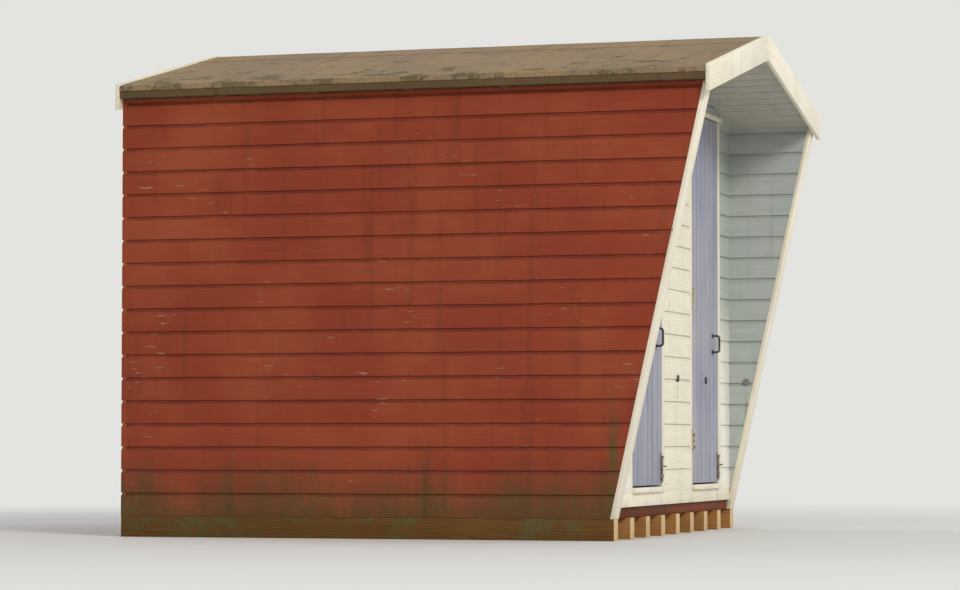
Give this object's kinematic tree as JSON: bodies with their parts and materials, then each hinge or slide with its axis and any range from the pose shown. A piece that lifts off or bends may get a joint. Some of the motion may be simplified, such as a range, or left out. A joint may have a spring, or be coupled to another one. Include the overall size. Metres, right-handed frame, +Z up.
{
  "type": "beach hut",
  "caption": "Timber seaside hut with a shallow felted gable roof, tapered side wings round an open porch and a pair of single boarded doors that swing outward.",
  "frame": {"origin": "on the ground at the underside of the middle bearer, in the middle of the floor", "axes": "+Z up, -Y out of the front of the hut with its doors, +X to the right seen from the front"},
  "size_m": [2.528, 2.925, 2.4492],
  "materials": {
    "ground_timber": "rough sawn, weathered",
    "brown_paint": "worn red-brown paint",
    "floor_timber": "planed, bare",
    "white_paint": "weathered white gloss paint",
    "red_paint": "weathered brick red paint",
    "pale_blue_paint": "pale blue-grey paint",
    "ivory_paint": "ivory paint",
    "door_paint": "lavender blue paint",
    "frame_timber": "planed softwood, bare",
    "mossy_timber": "dark stain with moss",
    "roof_felt": "mineral felt, mossy",
    "hinge_steel": "painted over, rusting",
    "black_iron": "black paint, worn"
  },
  "bodies": {
    "hut": {"ground_bearers": "ground_timber", "edge_beams": "brown_paint", "cross_beams": "brown_paint", "floor_joists": "floor_timber", "floor_deck": "floor_timber", "plinth_board": "white_paint", "wing_trims": "white_paint", "bargeboards_left": "white_paint", "bargeboards_right": "white_paint", "door_drips": "white_paint", "door_jambs": "white_paint", "door_sills": "white_paint", "side_cladding_left": "red_paint", "side_cladding_right": "red_paint", "rear_cladding": "red_paint", "wing_linings": "pale_blue_paint", "front_gable": "pale_blue_paint", "porch_soffit_left": "pale_blue_paint", "porch_soffit_right": "pale_blue_paint", "front_cladding_left": "ivory_paint", "front_cladding_middle": "ivory_paint", "front_cladding_right": "ivory_paint", "wall_studs": "frame_timber", "wall_plates": "frame_timber", "bottom_rails": "frame_timber", "wing_raking_studs": "frame_timber", "rafters": "frame_timber", "ridge_board": "frame_timber", "door_header": "frame_timber", "roof_boards_left": "frame_timber", "roof_boards_right": "frame_timber", "eaves_fascias": "mossy_timber", "roof_felt": "roof_felt", "frame_hinges": "hinge_steel", "wall_bosses": "black_iron"},
    "door_left": {"door_boards_left": "door_paint", "door_ledges_left": "door_paint", "door_braces_left": "door_paint", "door_hinge_flaps_left": "hinge_steel", "door_furniture_left": "black_iron"},
    "door_right": {"door_boards_right": "door_paint", "door_ledges_right": "door_paint", "door_braces_right": "door_paint", "door_hinge_flaps_right": "hinge_steel", "door_furniture_right": "black_iron"}
  },
  "joints": [
    {"name": "door_left_hinge", "type": "hinge", "parent": "hut", "child": "door_left", "pos_m": [-0.878, -1.2275, 1.2], "axis": [0, 0, -1], "range_deg": [0, 95]},
    {"name": "door_right_hinge", "type": "hinge", "parent": "hut", "child": "door_right", "pos_m": [0.312, -1.2275, 1.2], "axis": [0, 0, -1], "range_deg": [0, 95]}
  ]
}
